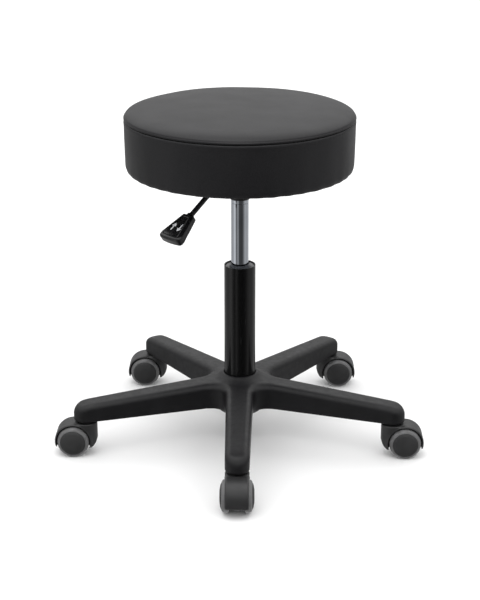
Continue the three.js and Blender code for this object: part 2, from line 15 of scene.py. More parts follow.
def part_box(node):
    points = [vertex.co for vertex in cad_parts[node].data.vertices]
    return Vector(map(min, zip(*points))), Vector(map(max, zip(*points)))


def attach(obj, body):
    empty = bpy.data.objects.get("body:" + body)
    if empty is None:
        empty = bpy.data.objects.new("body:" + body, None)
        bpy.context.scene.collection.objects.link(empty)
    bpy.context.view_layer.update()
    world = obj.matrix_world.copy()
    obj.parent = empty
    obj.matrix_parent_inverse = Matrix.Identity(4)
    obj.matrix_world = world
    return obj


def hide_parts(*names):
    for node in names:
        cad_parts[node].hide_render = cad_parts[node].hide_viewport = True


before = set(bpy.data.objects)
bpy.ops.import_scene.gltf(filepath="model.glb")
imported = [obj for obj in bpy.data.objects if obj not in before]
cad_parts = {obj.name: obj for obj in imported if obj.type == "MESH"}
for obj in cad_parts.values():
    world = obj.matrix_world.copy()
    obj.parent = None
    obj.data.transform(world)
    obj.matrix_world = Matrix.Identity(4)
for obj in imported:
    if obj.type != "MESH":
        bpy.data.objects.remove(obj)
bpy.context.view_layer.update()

MM = 0.001
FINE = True


def middle(node):
    low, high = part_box(node)
    return (low + high) / 2


AXIS = Vector((middle("column_tube").x, middle("column_tube").y, 0.0))
HOME = Matrix.Translation(AXIS)


def box_mm(node):
    """Lowest and highest corner of a CAD node, in millimetres from the column's axis."""
    low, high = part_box(node)
    return (low - AXIS) / MM, (high - AXIS) / MM


def low_z(node):
    return box_mm(node)[0].z


def high_z(node):
    return box_mm(node)[1].z


def half_x(node):
    low, high = box_mm(node)
    return (high.x - low.x) / 2


# ---- Materials ----


def add_node(tree, kind, inputs=(), **settings):
    """A shader node with its inputs set to values or linked to other nodes."""
    made = tree.nodes.new("ShaderNode" + kind)
    for key, value in settings.items():
        setattr(made, key, value)
    for key, value in dict(inputs).items():
        if isinstance(value, bpy.types.NodeSocket):
            tree.links.new(value, made.inputs[key])
        else:
            made.inputs[key].default_value = value
    return made


class Finish:
    """A Principled material, with short ways to add procedural detail to it."""

    def __init__(self, name, colour, roughness, **sockets):
        self.material = bpy.data.materials.new(name)
        self.material.use_nodes = True
        self.tree = self.material.node_tree
        self.shader = self.tree.nodes["Principled BSDF"]
        self.colour = colour
        self.shader.inputs["Base Color"].default_value = (*colour, 1)
        self.shader.inputs["Roughness"].default_value = roughness
        for socket, value in sockets.items():
            self.shader.inputs[socket.replace("_", " ")].default_value = value
        self.material.diffuse_color = (*colour, 1)
        self.place = self.tree.nodes.new("ShaderNodeTexCoord").outputs["Object"]
        self.height = None

    def node(self, kind, inputs=(), **settings):
        return add_node(self.tree, kind, inputs, **settings)

    def stretched(self, x, y, z):
        return self.node("Mapping", {"Vector": self.place, "Scale": (x, y, z)}).outputs["Vector"]

    def noise(self, size, detail=3.0, vector=None):
        """Noise whose features are about this many metres across."""
        inputs = {"Vector": vector or self.place, "Scale": 1 / size, "Detail": detail}
        return self.node("TexNoise", inputs).outputs["Fac"]

    def cells(self, size, feature="F1", output="Distance"):
        inputs = {"Vector": self.place, "Scale": 1 / size}
        return self.node("TexVoronoi", inputs, feature=feature).outputs[output]

    def spread(self, value, low, high, to_low=0.0, to_high=1.0):
        inputs = {"Value": value, "From Min": low, "From Max": high, "To Min": to_low, "To Max": to_high}
        return self.node("MapRange", inputs).outputs["Result"]

    def tint(self, factor, colour):
        """Goes towards another colour where factor is high."""
        socket = self.shader.inputs["Base Color"]
        before = socket.links[0].from_socket if socket.links else (*self.colour, 1)
        mix = self.node("Mix", {"Factor": factor, 6: before, 7: (*colour, 1)}, data_type="RGBA")
        self.tree.links.new(mix.outputs[2], socket)

    def spots(self, size, detail, low, high, colour):
        """Another colour where noise goes from low to high."""
        self.tint(self.spread(self.noise(size, detail), low, high), colour)

    def rough(self, size, detail, low, high):
        """Roughness that runs from low to high with noise."""
        uneven = self.spread(self.noise(size, detail), 0.3, 0.7, low, high)
        self.tree.links.new(uneven, self.shader.inputs["Roughness"])

    def grain(self, size, detail, depth, strength):
        self.bump(self.noise(size, detail), depth, strength)

    def bump(self, value, depth, strength=1.0):
        inputs = {"Height": value, "Distance": depth, "Strength": strength}
        if self.height:
            inputs["Normal"] = self.height
        self.height = self.node("Bump", inputs).outputs["Normal"]
        self.tree.links.new(self.height, self.shader.inputs["Normal"])

    def edges(self, colour, low=0.52, high=0.62):
        """Wear along convex edges."""
        point = self.node("NewGeometry").outputs["Pointiness"]
        patchy = self.spread(self.noise(0.004, 4), 0.35, 0.7)
        worn = self.node("Math", {0: self.spread(point, low, high), 1: patchy}, operation="MULTIPLY")
        self.tint(worn.outputs[0], colour)


def leatherette():
    made = Finish("leatherette", (0.0072, 0.007, 0.0086), 0.45, IOR=1.38)
    made.spots(0.12, 2, 0.3, 0.75, (0.0098, 0.0095, 0.0104))
    made.tint(made.spread(made.cells(0.0013, "DISTANCE_TO_EDGE"), 0.06, 0.0), (0.004, 0.004, 0.0043))
    made.rough(0.06, 2, 0.45, 0.5)
    pebbles = made.cells(0.0013, "SMOOTH_F1")
    made.grain(0.05, 1, 0.0002, 0.2)
    made.bump(pebbles, 0.00022, 0.55)
    made.grain(0.0004, 3, 0.00006, 0.5)
    return made.material


def uneven(name, colour, roughness, spots, rough, grain, **sockets):
    """A plain finish. Each spot, rough and grain starts with the size and detail of its noise."""
    made = Finish(name, colour, roughness, **sockets)
    for spot in spots:
        made.spots(*spot)
    made.rough(*rough)
    made.grain(*grain)
    return made.material


def moulded(name, colour, low, high, edge, grain=0.00055, depth=0.00009, **sockets):
    """Spark-textured moulded plastic with slightly polished edges and a trace of dust."""
    made = Finish(name, colour, (low + high) / 2, **sockets)
    lighter = tuple(1.5 * c for c in colour)
    made.spots(0.03, 5, 0.35, 0.8, lighter)
    made.edges(edge)
    made.rough(0.009, 6, low, high)
    made.grain(grain, 4, depth, 0.8)
    made.bump(made.cells(2.2 * grain), depth, 0.35)
    return made.material


def gloss_paint():
    made = Finish("gloss_black_paint", (0.0012, 0.0012, 0.0014), 0.18, IOR=1.46)
    made.rough(0.02, 6, 0.15, 0.25)
    made.grain(0.0016, 3, 0.00004, 0.5)
    fine = made.noise(0.0012, 2, made.stretched(1, 1, 0.06))
    made.tint(made.spread(fine, 0.68, 0.76), (0.02, 0.02, 0.021))
    return made.material


def chrome():
    made = Finish("chrome", (0.62, 0.65, 0.7), 0.07, Metallic=1.0)
    turned_marks = made.noise(0.0009, 3, made.stretched(0.08, 0.08, 1))
    drawn_marks = made.noise(0.0012, 3, made.stretched(1, 1, 0.03))
    made.spots(0.03, 5, 0.45, 0.8, (0.53, 0.56, 0.61))
    made.rough(0.01, 6, 0.045, 0.11)
    made.bump(turned_marks, 0.000004, 0.5)
    made.bump(drawn_marks, 0.000006, 0.5)
    return made.material


def powder_coat():
    made = Finish("black_powder_coat", (0.009, 0.009, 0.0095), 0.42, IOR=1.45)
    made.spots(0.02, 5, 0.4, 0.8, (0.016, 0.016, 0.017))
    made.edges((0.09, 0.088, 0.085), 0.56, 0.7)
    made.rough(0.006, 4, 0.34, 0.5)
    made.grain(0.0013, 2, 0.00007, 0.7)
    return made.material


def felt():
    """Non-woven dust cloth: short crossing fibres, pressed in a lattice of dots."""
    made = Finish("dust_cloth", (0.011, 0.011, 0.012), 0.95, Sheen_Weight=0.25)
    one_way = made.noise(0.0007, 3, made.stretched(0.12, 1, 1))
    other_way = made.noise(0.0007, 3, made.stretched(1, 0.12, 1))
    fibres = made.node("Math", {0: one_way, 1: other_way}, operation="MAXIMUM").outputs[0]
    made.tint(made.spread(fibres, 0.5, 0.7), (0.03, 0.03, 0.032))
    made.bump(fibres, 0.0003, 0.7)
    made.bump(made.cells(0.0016), 0.0002, 0.5)
    return made.material


def foam_rubber():
    made = Finish("seat_foam", (0.62, 0.53, 0.33), 0.95)
    made.spots(0.012, 5, 0.4, 0.75, (0.72, 0.65, 0.45))
    made.tint(made.spread(made.cells(0.0011, "DISTANCE_TO_EDGE"), 0.0, 0.3), (0.5, 0.41, 0.24))
    made.bump(made.cells(0.0011), 0.0004, 0.8)
    return made.material


def plywood():
    """Birch ply: flame figure on the faces and thin dark glue lines on the edge."""
    made = Finish("plywood", (0.44, 0.29, 0.15), 0.7)
    figure = made.noise(0.02, 6, made.stretched(1, 0.12, 1))
    made.tint(made.spread(figure, 0.4, 0.62), (0.3, 0.18, 0.085))
    pitch = 0.002547  # a light layer and a dark one
    inputs = {"Vector": made.place, "Scale": math.pi / 10 / pitch, "Distortion": 0.3}
    layers = made.node("TexWave", inputs, bands_direction="Z").outputs["Fac"]
    made.tint(made.spread(layers, 0.8, 1.0, 0.0, 0.5), (0.12, 0.07, 0.035))
    made.rough(0.003, 5, 0.6, 0.8)
    made.bump(made.noise(0.0009, 4, made.stretched(1, 0.08, 1)), 0.0002, 0.6)
    return made.material


LEATHERETTE = leatherette()
PAINT = gloss_paint()
CHROME = chrome()
ZINC = uneven("zinc_steel", (0.5, 0.49, 0.46), 0.25, [(0.004, 6, 0.45, 0.7, (0.3, 0.294, 0.276))],
              (0.002, 5, 0.25, 0.45), (0.0007, 4, 0.00004, 0.6), Metallic=1.0)
COATED = powder_coat()
NYLON = moulded("textured_nylon", (0.0055, 0.0054, 0.0062), 0.42, 0.54, (0.0115, 0.0115, 0.012), IOR=1.38)
HOOD = moulded("hood_plastic", (0.0165, 0.0165, 0.017), 0.38, 0.5, (0.06, 0.059, 0.06), 0.0004, IOR=1.45)
CAP = moulded("wheel_cap_plastic", (0.021, 0.021, 0.0215), 0.46, 0.6, (0.05, 0.05, 0.05), 0.0004, IOR=1.4)
GLOSS = uneven("gloss_plastic", (0.005, 0.005, 0.0055), 0.16,
               [(0.006, 6, 0.55, 0.75, (0.016, 0.0155, 0.015))],
               (0.004, 6, 0.11, 0.24), (0.003, 2, 0.00003, 0.4), IOR=1.47)
SLEEVE = moulded("sleeve_plastic", (0.15, 0.15, 0.155), 0.16, 0.26, (0.18, 0.18, 0.183), 0.0005, 0.00003,
                 IOR=1.5)
DUSTY, SCUFFED = (0.08, 0.079, 0.077), (0.06, 0.059, 0.057)
TREAD = uneven("grey_tread", (0.115, 0.115, 0.118), 0.33,
               [(0.008, 6, 0.4, 0.75, DUSTY), (0.0012, 3, 0.66, 0.78, SCUFFED)],
               (0.003, 5, 0.28, 0.45), (0.001, 4, 0.00005, 0.6), IOR=1.5)
RUBBER = uneven("black_rubber", (0.012, 0.012, 0.012), 0.8, [(0.003, 6, 0.45, 0.8, (0.03, 0.03, 0.029))],
                (0.002, 4, 0.7, 0.9), (0.0006, 4, 0.00007, 0.7))
WHITE_NYLON = uneven("white_nylon", (0.62, 0.61, 0.57), 0.45, [(0.003, 5, 0.5, 0.8, (0.5, 0.48, 0.43))],
                     (0.002, 4, 0.38, 0.55), (0.0008, 3, 0.00003, 0.6), Subsurface_Weight=0.1)
PRINT = uneven("printed_white", (0.72, 0.73, 0.75), 0.5, [(0.0007, 4, 0.55, 0.75, (0.5, 0.5, 0.52))],
               (0.0006, 3, 0.42, 0.6), (0.0002, 3, 0.00001, 0.5))
FELT = felt()
FOAM = foam_rubber()
PLY = plywood()

# ---- Mesh helpers ----


def linked(name, data):
    """A new object in the scene."""
    made = bpy.data.objects.new(name, data)
    bpy.context.scene.collection.objects.link(made)
    return made


def mesh_of(name, shape):
    """A mesh from (vertices in millimetres, faces), its seams welded and its faces turned outward."""
    verts, faces = shape
    mesh = bpy.data.meshes.new(name)
    mesh.from_pydata((np.asarray(verts, float) * MM).tolist(), [], [list(map(int, f)) for f in faces])
    work = bmesh.new()
    work.from_mesh(mesh)
    bmesh.ops.remove_doubles(work, verts=work.verts, dist=2e-6)
    bmesh.ops.dissolve_degenerate(work, dist=1e-7, edges=work.edges)
    bmesh.ops.recalc_face_normals(work, faces=work.faces)
    work.to_mesh(mesh)
    work.free()
    return mesh


def shaded(name, shape, material, sharp=35.0):
    mesh = mesh_of(name, shape)
    mesh.shade_smooth()
    mesh.set_sharp_from_angle(angle=math.radians(sharp))
    mesh.materials.append(material)
    return mesh


def piece(name, shape, material, body, replaces=(), sharp=32.0, matrix=HOME):
    """A shown mesh from (vertices in millimetres, faces), riding on a CAD body."""
    return shown(name, shaded(name, shape, material, sharp), body, replaces, matrix)


def shown(name, mesh, body, replaces=(), matrix=HOME):
    made = linked(name, mesh)
    made.matrix_world = matrix
    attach(made, body)
    if replaces:
        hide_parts(*replaces)
    return made


def rounded(corners, steps=5):
    """A closed loop of points from corners given as (x, y, radius)."""
    out = []
    for i, (x, y, radius) in enumerate(corners):
        corner = np.array((x, y), float)
        if radius <= 0:
            out.append(corner)
            continue
        sides = []
        for neighbour in (corners[i - 1], corners[(i + 1) % len(corners)]):
            away = np.array(neighbour[:2], float) - corner
            sides.append((away / np.linalg.norm(away), np.linalg.norm(away)))
        (a, length_a), (b, length_b) = sides
        half = math.acos(float(np.clip(a @ b, -1, 1))) / 2
        reach = min(radius / max(math.tan(half), 1e-6), 0.45 * length_a, 0.45 * length_b)
        for t in np.linspace(0, 1, steps + 1):
            out.append(corner + (1 - t) ** 2 * reach * a + t**2 * reach * b)
    return np.array(out)


def joined(*shapes):
    verts, faces, start = [], [], 0
    for v, f in shapes:
        verts.append(np.asarray(v, float))
        faces += [[start + i for i in face] for face in f]
        start += len(v)
    return np.concatenate(verts), faces


def grid_faces(rows, columns, close_rows, close_columns):
    faces = []
    for i in range(rows if close_rows else rows - 1):
        for j in range(columns if close_columns else columns - 1):
            a, b = i * columns, ((i + 1) % rows) * columns
            k = (j + 1) % columns
            faces.append((a + j, a + k, b + k, b + j))
    return faces


def angles(count):
    """A whole turn in equal steps."""
    return np.arange(count) * 2 * math.pi / count


def polar(r, z, turn):
    """Points at a radius and a height, for every angle."""
    return np.stack([r * np.cos(turn), r * np.sin(turn), z + 0 * turn], -1)


def turned(corners, sides=96, steps=5):
    """A closed [radius, height, rounding] loop turned round Z."""
    loop = rounded(corners, steps)
    verts = polar(loop[:, :1], loop[:, 1:], angles(sides)).reshape(-1, 3)
    return verts, grid_faces(len(loop), sides, True, True)


def moved(shape, x=0.0, y=0.0, z=0.0):
    return np.asarray(shape[0]) + np.array((x, y, z)), shape[1]


def facing_y(shape, side=1):
    """Turns a shape that was made round Z to lie round Y, its heights becoming Y times side."""
    verts = np.asarray(shape[0])
    return np.stack([verts[:, 0], side * verts[:, 2], verts[:, 1]], 1), shape[1]


def curve(start, corner, end, count):
    """Points of a bend from start to end, drawn towards corner."""
    return [(1 - t) ** 2 * start + 2 * t * (1 - t) * corner + t * t * end for t in np.linspace(0, 1, count)]


def swept(path, radius, sides):
    """A round bar along a path, with softly domed ends."""
    path = np.asarray(path, float)
    along = np.gradient(path, axis=0)
    along /= np.linalg.norm(along, axis=1)[:, None]
    side = np.cross(along[0], (0, 0, 1.0))
    if np.linalg.norm(side) < 1e-6:
        side = np.array((1.0, 0, 0))
    rings = []
    turn = angles(sides)
    dome = [(share, 0.35 * radius * (1 - share**2)) for share in (0.0, 0.45, 0.8)]
    for i in range(len(path)):
        side = side - along[i] * (side @ along[i])
        side /= np.linalg.norm(side)
        up = np.cross(side, along[i])
        circle = radius * (np.cos(turn)[:, None] * side + np.sin(turn)[:, None] * up)
        if i == 0:
            rings += [path[0] - along[0] * rise + circle * share for share, rise in dome]
        rings.append(path[i] + circle)
        if i == len(path) - 1:
            rings += [path[i] + along[i] * rise + circle * share for share, rise in reversed(dome)]
    return np.concatenate(rings), grid_faces(len(rings), sides, False, True)


# ---- Signed fields, negative inside, and the surface net that turns one into a mesh ----


def smooth_min(a, b, k):
    h = np.clip(0.5 + 0.5 * (b - a) / k, 0, 1)
    return b + (a - b) * h - k * h * (1 - h)


def smooth_max(a, b, k):
    return -smooth_min(-a, -b, k)


def round_max(a, b, radius):
    """The overlap of two fields, its edge rounded to a radius."""
    a, b = a + radius, b + radius
    return np.hypot(np.maximum(a, 0), np.maximum(b, 0)) + np.minimum(np.maximum(a, b), 0) - radius


CELL = [(i, j, k) for i in (0, 1) for j in (0, 1) for k in (0, 1)]
CELL_EDGES = [(a, b) for a in range(8) for b in range(a + 1, 8) if bin(a ^ b).count("1") == 1]


def net(field, low, high, step):
    """Closed mesh of a field's zero level inside a box."""
    axes = [np.arange(l, h + s, s) for l, h, s in zip(low, high, step)]
    x, y, z = axes[0][:, None, None], axes[1][None, :, None], axes[2][None, None, :]
    value = np.broadcast_to(field(x, y, z), [len(a) for a in axes]).astype(np.float32)
    inside = value < 0
    near = [slice(0, -1), slice(1, None)]
    count = sum(inside[near[i], near[j], near[k]].astype(np.int8) for i, j, k in CELL)
    cells = np.argwhere((count > 0) & (count < 8))
    corner = np.stack([value[tuple((cells + c).T)] for c in CELL], 1)
    total, hits = np.zeros((len(cells), 3)), np.zeros(len(cells))
    for a, b in CELL_EDGES:
        va, vb = corner[:, a], corner[:, b]
        cross = (va < 0) != (vb < 0)
        t = np.where(cross, va / np.where(cross, va - vb, 1), 0)[:, None]
        ca, cb = np.array(CELL[a]), np.array(CELL[b])
        total += np.where(cross[:, None], ca + t * (cb - ca), 0)
        hits += cross
    place = cells + total / hits[:, None]
    verts = np.array(low) + place * np.array(step)
    number = np.full(count.shape, -1)
    number[tuple(cells.T)] = np.arange(len(cells))
    faces = []
    for axis in range(3):
        head, tail = [slice(None)] * 3, [slice(None)] * 3
        head[axis], tail[axis] = slice(0, -1), slice(1, None)
        change = np.argwhere(inside[tuple(head)] != inside[tuple(tail)])
        u, v = [e for e in range(3) if e != axis]
        quad = []
        for du, dv in ((1, 1), (0, 1), (0, 0), (1, 0)):
            at = change.copy()
            at[:, u] -= du
            at[:, v] -= dv
            quad.append(number[tuple(at.T)])
        faces.append(np.stack(quad, 1))
    verts = settle(field, verts, 0.35 * min(step))
    return verts, np.concatenate(faces)


def settle(field, verts, reach):
    """Moves points on to the field's zero level, none further than reach."""
    e = 0.05
    start = verts.copy()
    for _ in range(3):
        x, y, z = verts.T
        here = field(x, y, z)
        nearby = (field(x + e, y, z), field(x, y + e, z), field(x, y, z + e))
        slope = np.stack([value - here for value in nearby], 1) / e
        size = np.maximum((slope**2).sum(1), 0.2)
        verts = verts - (here / size)[:, None] * slope
        away = verts - start
        far = np.linalg.norm(away, axis=1)
        verts = start + away * np.minimum(1, reach / np.maximum(far, 1e-9))[:, None]
    return verts


# ---- Seat ----

SEAT_TOP = high_z("seat_cover_top")
SEAT_LOW = low_z("seat_cover_band")
SEAM = low_z("seat_cover_top")
SEAT_R = half_x("seat_cover_top")
COVER_R = SEAT_R + 2.5  # the foam swells the cover a little past the board
COVER = 1.2  # thickness of the cover's sheet
TUCKED = 3  # points at the end of the crown's profile that turn in under the seam
CROWN_R = 150.0  # where the crown starts to bend down
FLANGE_R = 150.0  # inner edge of the band that is turned in under the board
AROUND = 720 if FINE else 360
RIPPLES = np.random.default_rng(11)


def waves(turn, low, high, count):
    """A seeded sum of whole waves round the seat, about -1 to 1."""
    numbers = RIPPLES.integers(low, high, count)
    phases = RIPPLES.uniform(0, 2 * math.pi, count)
    sizes = RIPPLES.uniform(0.5, 1, count)
    total = sum(s * np.cos(n * turn + p) for n, p, s in zip(numbers, phases, sizes))
    return total / np.abs(total).max()


def crown_line():
    """Radius and height of the top panel from its middle to the seam and under it."""
    flat = [(r, SEAT_TOP - 0.2 - 4.6 * (r / CROWN_R) ** 2.2) for r in np.linspace(0, CROWN_R, 30)]
    shoulder = np.array((COVER_R - 1.8, SEAT_TOP - 6.6))
    seam = np.array((COVER_R - 0.7, SEAM + 1.6))
    fall = curve(np.array(flat[-1]), shoulder, seam, 34)[1:]
    under = [(COVER_R - 1.3, SEAM + 0.5), (COVER_R - 2.6, SEAM), (COVER_R - 5.0, SEAM - 0.1)]
    return np.array(flat + [tuple(p) for p in fall] + under)


def band_line():
    """Radius and height of the side band from the seam down and under the board."""
    tucked = [(COVER_R - 5.0, SEAM - 0.5), (COVER_R - 2.8, SEAM - 0.6), (COVER_R - 1.7, SEAM - 1.2)]
    top = tucked + [(COVER_R - 1.1, SEAM - 2.6)]
    heights = np.linspace(SEAM - 4.5, SEAT_LOW + 11, 40)
    side = [(COVER_R - 0.9 - 1.3 * ((SEAM - z) / (SEAM - SEAT_LOW)) ** 2, z) for z in heights]
    r, z = side[-1]
    quarter = np.linspace(0, math.pi / 2, 12)[1:]
    roll = [(r - 6.0 * (1 - math.cos(a)), z - (z - SEAT_LOW) * math.sin(a)) for a in quarter]
    flange = [(s, SEAT_LOW + 0.25) for s in np.linspace(roll[-1][0] - 2, FLANGE_R, 10)]
    return np.array(top + side + roll + flange)


def inflated():
    """The cushion as a closed skin, blown up by Cloth while its underside and seam stay put."""
    line = np.concatenate([crown_line()[:-TUCKED], band_line()[TUCKED:-10], [(0, SEAT_LOW + 1)]])
    line[:, 0] = np.maximum(line[:, 0] - 1.0, 0)
    line[:, 1] -= np.where(line[:, 1] > SEAM, 1.0, 0)
    verts = polar(line[:, :1], line[:, 1:], angles(128)).reshape(-1, 3)
    form = linked("cushion_form", mesh_of("cushion_form", (verts, grid_faces(len(line), 128, False, True))))
    remesh = form.modifiers.new("remesh", "REMESH")
    remesh.mode, remesh.voxel_size = "VOXEL", 0.0055
    graph = bpy.context.evaluated_depsgraph_get()
    form.data = bpy.data.meshes.new_from_object(form.evaluated_get(graph))
    form.modifiers.clear()
    held = form.vertex_groups.new(name="held")
    for v in form.data.vertices:
        x, y, z = v.co / MM
        at_seam = math.exp(-((z - SEAM) / 5) ** 2) if math.hypot(x, y) > SEAT_R - 12 else 0
        at_board = min(1.0, max(0.0, (SEAT_LOW + 10 - z) / 6))
        held.add([v.index], max(at_seam, at_board), "REPLACE")
    before = np.array([v.co for v in form.data.vertices])
    cloth = form.modifiers.new("cloth", "CLOTH").settings
    cloth.use_pressure, cloth.uniform_pressure_force = True, 4.0
    cloth.effector_weights.gravity = 0.0
    cloth.vertex_group_mass = "held"
    cloth.pin_stiffness = 1.0
    cloth.tension_stiffness = cloth.compression_stiffness = 30
    cloth.bending_stiffness = 1.5
    for number in range(1, 21):
        bpy.context.scene.frame_set(number)
    graph = bpy.context.evaluated_depsgraph_get()
    result = form.evaluated_get(graph).to_mesh()
    push = np.array([v.co for v in result.vertices]) - before
    far = np.linalg.norm(push, axis=1)
    furthest = 0.006
    capped = before + push * np.minimum(1, furthest / np.maximum(far, 1e-9))[:, None]
    faces = [tuple(p.vertices) for p in result.polygons]
    bpy.data.objects.remove(form)
    bpy.context.scene.frame_set(1)
    return BVHTree.FromPolygons([Vector(c) for c in capped], faces)


def outward(line):
    """Unit normals of a profile that runs clockwise, pointing out of the seat."""
    along = np.gradient(line, axis=0)
    normal = np.stack([-along[:, 1], along[:, 0]], 1)
    return normal / np.maximum(np.linalg.norm(normal, axis=1), 1e-9)[:, None]


def softened(field, rounds):
    """Smooths a field laid out as profile by angle."""
    for _ in range(rounds):
        field = (field + np.roll(field, 1, 1) + np.roll(field, -1, 1)) / 3
        padded = np.concatenate([field[:1], field, field[-1:]])
        field = (padded[:-2] + padded[1:-1] + padded[2:]) / 3
    return field


def swelling(line, normal, turn, skin):
    """How far the blown-up skin stands off the profile, along the profile's normal, in millimetres."""
    every = AROUND // 180
    reach = 8.0  # how far inside the profile each ray starts
    coarse = turn[::every]
    out = np.zeros((len(line), len(coarse)))
    for j, a in enumerate(coarse):
        c, s = math.cos(a), math.sin(a)
        for i, ((r, z), (nr, nz)) in enumerate(zip(line, normal)):
            point, way = Vector((r * c, r * s, z)) * MM, Vector((nr * c, nr * s, nz))
            hit = skin.ray_cast(point - way * reach * MM, way, 2.5 * reach * MM)
            out[i, j] = hit[3] / MM - reach if hit[0] else 0.0
    out = softened(out, 10)
    wide = np.concatenate([out, out[:, :1]], 1)
    spots = np.arange(AROUND) / every
    first = spots.astype(int)
    part = spots - first
    return wide[:, first] * (1 - part) + wide[:, first + 1] * part


def skin_shape(line, relief):
    """Vertices and faces of a sheet on a profile, moved along its normal by relief, COVER thick."""
    normal = outward(line)
    rings = []
    for depth in (0.0, -COVER):
        r = line[:, :1] + normal[:, :1] * (relief + depth)
        z = line[:, 1:] + normal[:, 1:] * (relief + depth)
        r = np.where(line[:, :1] < 0.5, 0, r)
        rings.append(polar(r, z, angles(AROUND)))
    sheet = np.concatenate([rings[0], rings[1][::-1]])
    closed = line[0, 0] > 0.5
    return sheet.reshape(-1, 3), grid_faces(len(sheet), AROUND, closed, True)


def bump_at(distance, peak, width):
    """A smooth rise to 1 at peak."""
    return np.exp(-(((distance - peak) / width) ** 2))


def seat_covers():
    turn = angles(AROUND)
    skin = inflated() if FINE else None
    crown, band = crown_line(), band_line()
    near_seam = waves(turn, 85, 190, 26)
    slow_seam = waves(turn, 7, 40, 12)
    scallops = waves(turn, 26, 52, 14)
    draws = waves(turn, 5, 24, 10)
    pleats = waves(turn, 60, 110, 16)
    drift = waves(turn, 3, 9, 6)

    def relief_of(line, is_band):
        relief = np.zeros((len(line), AROUND))
        if skin:
            swell = swelling(line, outward(line), turn, skin)
            limit = 1.6 if is_band else 1.8
            mean = swell.mean(1, keepdims=True)
            swell = swell - mean + 0.12 * (mean - np.median(mean))
            relief += limit * np.tanh(swell / limit)
        r, z = line[:, :1], line[:, 1:]
        step = np.abs(z - SEAM)
        rim = r > SEAT_R - 30
        puckers = 0.34 * np.exp(-step / 4.5) * (near_seam * (1 + 0.6 * slow_seam))
        allowance = 0.25 * bump_at(step, 4, 3)
        relief += np.where(rim, puckers + allowance, 0)
        if is_band:
            up = z - SEAT_LOW
            relief += 0.38 * np.exp(-up / 13) * scallops * (r > 160)
            relief += 0.4 * bump_at(up, 40, 30) * draws
            under = np.clip((172 - r) / 8, 0, 1) * (up < 6)
            relief += under * 0.5 * (pleats - 1)
        else:
            stitched_in = 0.4 * bump_at(step, 4.2, 0.9) * rim
            relief += 0.35 * drift * np.clip(r / 160, 0, 1) ** 3 - stitched_in
        seam_edge = np.clip(step / 1.5, 0, 1)
        return relief * np.where(rim, 0.35 + 0.65 * seam_edge, 1)

    top = piece("seat_top_panel", skin_shape(crown, relief_of(crown, False)), LEATHERETTE, "carriage",
                ["seat_cover_top"], 80)
    side = piece("seat_side_band", skin_shape(band, relief_of(band, True)), LEATHERETTE, "carriage",
                 ["seat_cover_band"], 80)


def seat_inside():
    """The foam, which fills the cover a little way inside it."""
    low, r = low_z("seat_foam"), half_x("seat_foam")
    crown = crown_line()[:-TUCKED]
    inner = crown - outward(crown) * (COVER + 3.2)
    inner[:, 0] = np.clip(inner[:, 0], 0, r - 3)
    corners = [(0, low, 0), (r - 3, low, 2)] + [(x, z, 0) for x, z in inner[::-1]]
    foam = piece("seat_foam_pad", turned(corners, 128), FOAM, "carriage", ["seat_foam"])


def underside():
    """The dust cloth stapled over the board, and the staples that hold it and the cover."""
    low, high = low_z("seat_dust_cover"), high_z("seat_dust_cover")
    r_out = half_x("seat_dust_cover")
    turn = angles(240)
    radii = np.concatenate([np.linspace(11, r_out - 4, 44), [r_out - 2, r_out - 0.6, r_out]])
    slack = waves(turn, 18, 40, 10)
    rings = []
    for z0 in (low, high):
        r = radii[:, None]
        sag = -0.35 * np.clip((r - 112) / 30, 0, 1) * (1 + slack) * np.clip((r_out - r) / 8, 0, 1)
        rings.append(polar(r, z0 + sag, turn))
    sheet = np.concatenate([rings[0], rings[1][::-1]])
    cloth = piece("seat_dust_cloth", (sheet.reshape(-1, 3), grid_faces(len(sheet), 240, True, True)), FELT,
                  "carriage", ["seat_dust_cover"], 60)
    wire = []
    for ring_r, z, count, lean in ((r_out - 6, low - 0.45, 28, 8), (r_out + 6, SEAT_LOW - 0.5, 34, -6)):
        for i in range(count):
            a = 2 * math.pi * i / count + 0.02 * math.sin(7 * i)
            centre = np.array((ring_r * math.cos(a), ring_r * math.sin(a), z))
            way = a + math.pi / 2 + math.radians(lean * math.sin(3 * i + 1))
            half = 5 * np.array((math.cos(way), math.sin(way), 0))
            up = np.array((0, 0, 1.6))
            path = [centre - half + up, centre - half + 0.15 * up, centre - 0.93 * half, centre + 0.93 * half,
                    centre + half + 0.15 * up, centre + half + up]
            wire.append(swept(path, 0.35, 8))
    piece("seat_staples", joined(*wire), ZINC, "carriage")


# ---- Seat plate, bracket and bolts ----


def keep(node, material, bevel=0.0):
    """A CAD node whose own shape is right gets its finish and softened edges."""
    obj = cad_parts[node]
    obj.data.materials.clear()
    obj.data.materials.append(material)
    if bevel:
        edge = obj.modifiers.new("bevel", "BEVEL")
        edge.width, edge.segments, edge.angle_limit = bevel * MM, 3, math.radians(40)
        edge.limit_method = "ANGLE"
        edge.harden_normals = True
    return obj


